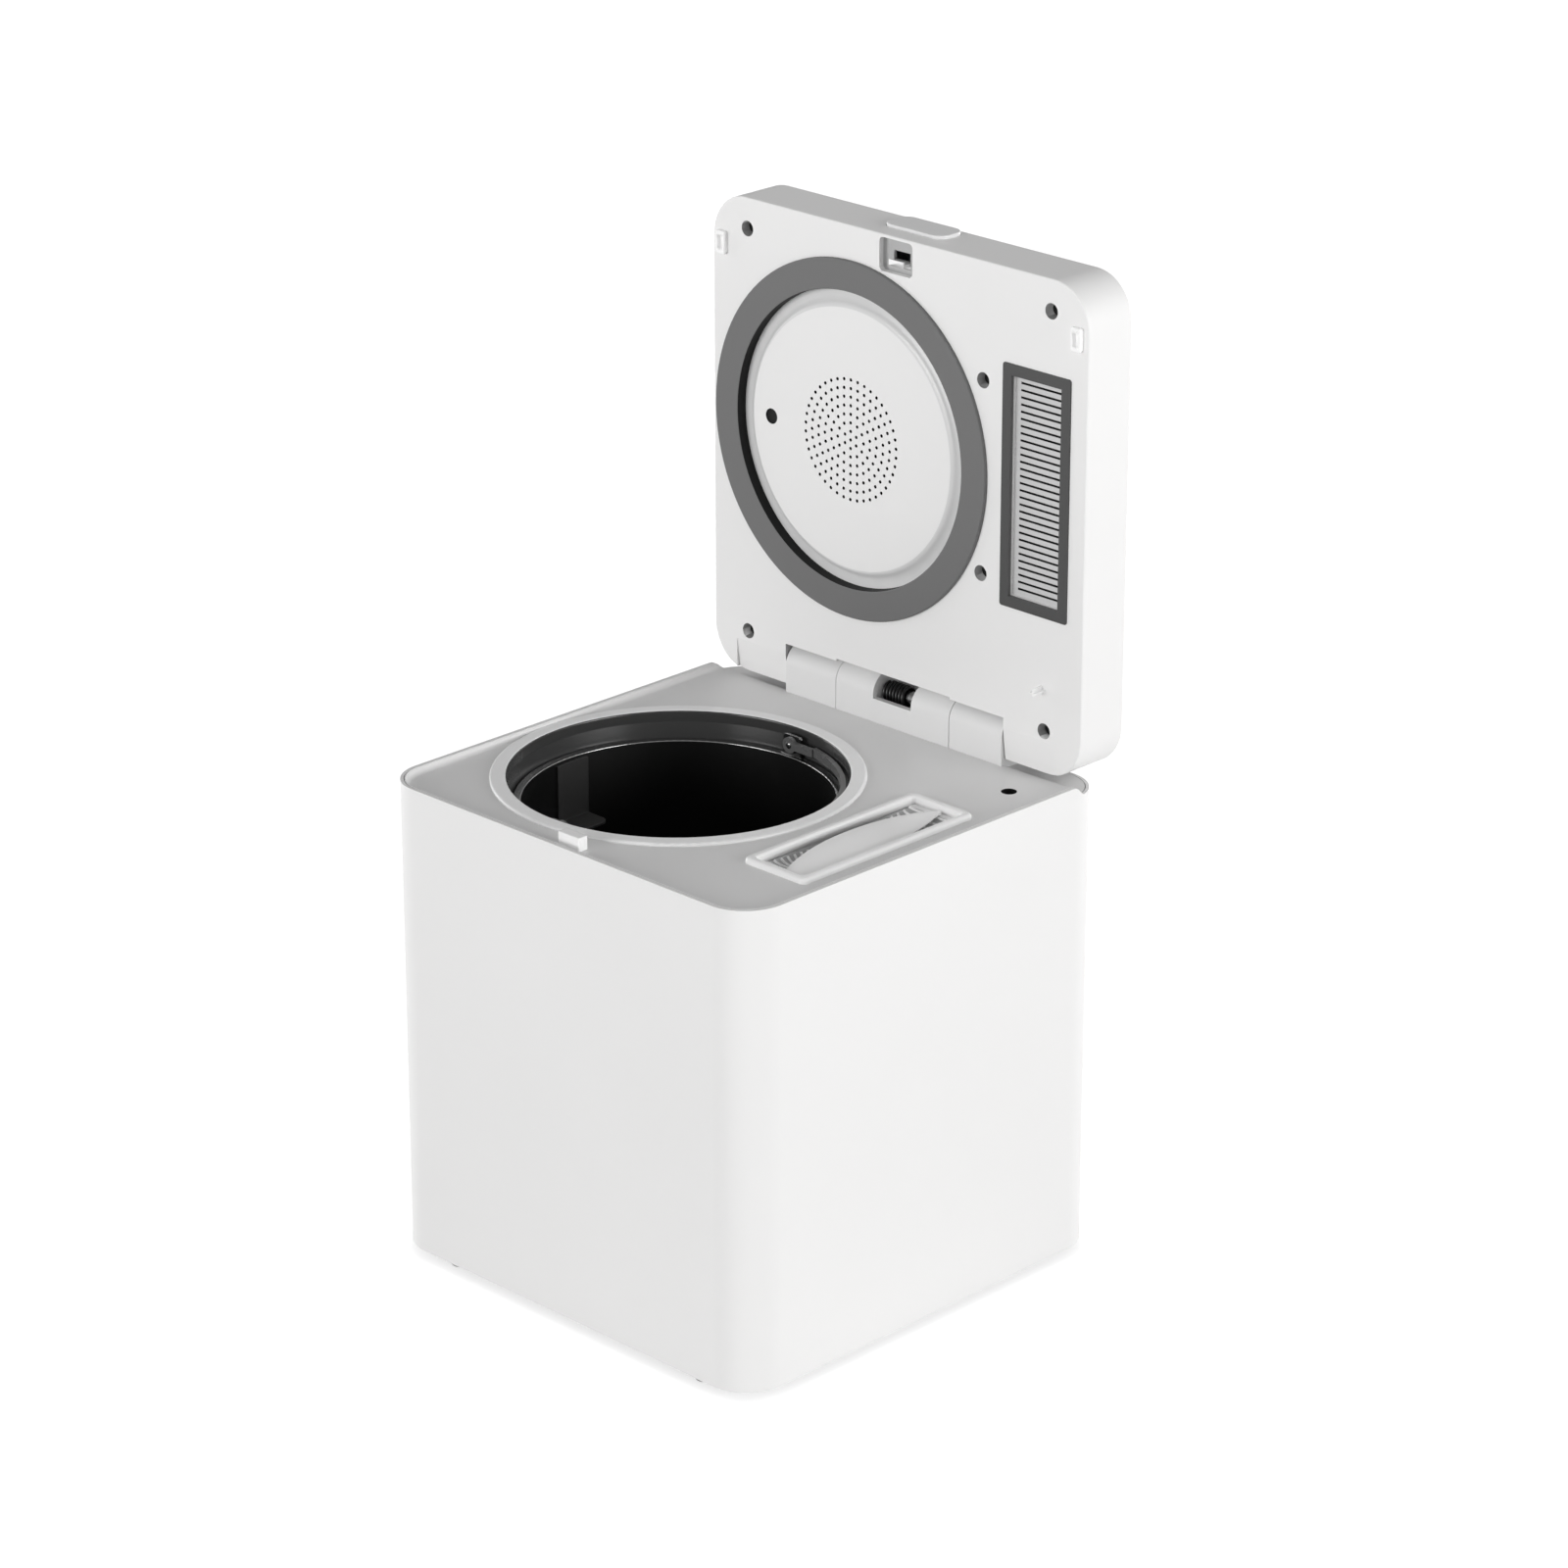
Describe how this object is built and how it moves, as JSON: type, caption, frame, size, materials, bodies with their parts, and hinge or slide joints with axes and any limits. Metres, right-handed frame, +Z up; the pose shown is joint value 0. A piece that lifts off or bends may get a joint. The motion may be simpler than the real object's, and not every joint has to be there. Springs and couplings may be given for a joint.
{
  "type": "food waste composter",
  "caption": "square countertop electric food waste composter with its lid standing open, lift-out round bucket with bail handle, carbon filter cartridge, stirring drive and sealed lid",
  "frame": {"origin": "on the floor plane under the feet, at the middle of the square body", "axes": "+Z up, -Y is the front where the lid opens, +Y is the hinge side, +X is the filter side, lid stored open at 90 degrees"},
  "size_m": [0.3, 0.3123, 0.606],
  "materials": {
    "white_plastic": "fine-textured moulded white",
    "deck_plastic": "satin moulded pale grey-white",
    "lid_plastic": "satin moulded white",
    "port_white": "satin moulded white",
    "button_plastic": "satin moulded pale grey-white",
    "gasket_grey": "soft mid-grey silicone",
    "gasket_dark": "soft dark grey silicone",
    "seal_rubber": "black moulded rubber",
    "foot_rubber": "dark rubber",
    "dark_plastic": "moulded near-black",
    "panel_black": "smooth black, backed",
    "board_green": "lacquered circuit board",
    "bucket_black": "non-stick black coating",
    "handle_black": "black coated steel strip",
    "pot_aluminium": "pressed, dull",
    "band_steel": "plain sheet",
    "arm_steel": "brushed stainless",
    "shaft_steel": "ground",
    "dark_steel": "black-oiled spring wire",
    "screw_steel": "zinc-plated",
    "brass_bush": "turned",
    "insulation": "pressed fibre mat",
    "gear_plastic": "natural acetal",
    "carbon_black": "granular carbon"
  },
  "bodies": {
    "housing": {"outer_shell": "white_plastic", "top_deck": "deck_plastic", "base_pan": "dark_plastic", "feet": "foot_rubber", "base_screws": "screw_steel", "power_inlet": "dark_plastic", "exhaust_grille": "white_plastic", "hinge_posts": "deck_plastic", "hinge_cover": "deck_plastic", "hinge_pin": "shaft_steel", "hinge_spring": "dark_steel", "throat_ring": "dark_plastic", "heater_pot": "pot_aluminium", "shaft_seal": "seal_rubber", "heater_band": "band_steel", "insulation_sleeve": "insulation", "temperature_probe": "screw_steel", "pot_stand": "band_steel", "gearbox_housing": "dark_plastic", "gearbox_cover": "dark_plastic", "drive_motor": "band_steel", "filter_box": "dark_plastic", "air_port_frame": "port_white", "fan_housing": "dark_plastic", "control_board": "board_green", "power_supply": "band_steel", "lid_switch": "dark_plastic", "latch_catch": "port_white"},
    "lid": {"lid_body": "lid_plastic", "lid_cover": "white_plastic", "touch_panel": "panel_black", "touch_board": "board_green", "ring_gasket": "gasket_grey", "vent_plate": "lid_plastic", "port_gasket": "gasket_dark", "louvre_grille": "port_white", "latch_plate": "deck_plastic", "hinge_lugs": "shaft_steel", "lid_screws": "screw_steel", "panel_hooks": "port_white", "switch_peg": "port_white", "latch_spring": "dark_steel"},
    "latch": {"release_button": "button_plastic", "latch_hook": "port_white"},
    "plunger": {"switch_plunger": "dark_plastic"},
    "bucket": {"bucket": "bucket_black", "bucket_bush": "brass_bush", "wall_baffle": "bucket_black", "handle_pivots": "shaft_steel"},
    "handle": {"bucket_handle": "handle_black"},
    "agitator": {"agitator": "arm_steel", "drive_dog": "shaft_steel"},
    "output": {"output_gear": "gear_plastic"},
    "idler": {"idler_gear": "gear_plastic"},
    "pinion": {"motor_pinion": "brass_bush"},
    "fan": {"fan_rotor": "dark_plastic"},
    "filter": {"filter_cartridge": "port_white", "filter_pull": "port_white", "carbon_bed": "carbon_black"}
  },
  "joints": [
    {"name": "lid_hinge", "type": "hinge", "parent": "housing", "child": "lid", "pos_m": [0, 0.137, 0.317], "axis": [-1, 0, 0], "range_deg": [-90, 0]},
    {"name": "release_press", "type": "slide", "parent": "lid", "child": "latch", "axis": [0, 0, -1], "range_m": [0, 0.0022], "stiffness_N_per_m": 600, "springref_m": -0.003, "deforming": ["latch_spring"]},
    {"name": "switch_press", "type": "slide", "parent": "housing", "child": "plunger", "axis": [0, 0, -1], "range_m": [0, 0.002], "stiffness_N_per_m": 200, "springref_m": -0.004},
    {"name": "bucket_lift", "type": "slide", "parent": "housing", "child": "bucket", "axis": [0, 0, 1], "range_m": [0, 0.22]},
    {"name": "handle_swing", "type": "hinge", "parent": "bucket", "child": "handle", "pos_m": [-0.0365, -0.0185, 0.293], "axis": [0, -1, 0], "range_deg": [0, 180]},
    {"name": "output_turn", "type": "hinge", "parent": "housing", "child": "output", "pos_m": [-0.0365, -0.0185, 0.079], "axis": [0, 0, 1], "continuous": true},
    {"name": "agitator_turn", "type": "hinge", "parent": "bucket", "child": "agitator", "pos_m": [-0.0365, -0.0185, 0.12], "axis": [0, 0, 1], "continuous": true},
    {"name": "idler_turn", "type": "hinge", "parent": "housing", "child": "idler", "pos_m": [0.0155, -0.0185, 0.07], "axis": [0, 0, 1], "continuous": true},
    {"name": "pinion_turn", "type": "hinge", "parent": "housing", "child": "pinion", "pos_m": [0.0545, -0.0185, 0.066], "axis": [0, 0, 1], "continuous": true},
    {"name": "fan_turn", "type": "hinge", "parent": "housing", "child": "fan", "pos_m": [0.086, 0.133, 0.15], "axis": [0, 1, 0], "continuous": true},
    {"name": "filter_lift", "type": "slide", "parent": "housing", "child": "filter", "axis": [0, 0, 1], "range_m": [0, 0.15]}
  ],
  "couplings": [
    {"joint": "agitator_turn", "follows": "output_turn", "ratio": 1},
    {"joint": "idler_turn", "follows": "output_turn", "ratio": -3.3333},
    {"joint": "pinion_turn", "follows": "output_turn", "ratio": 11.111}
  ]
}
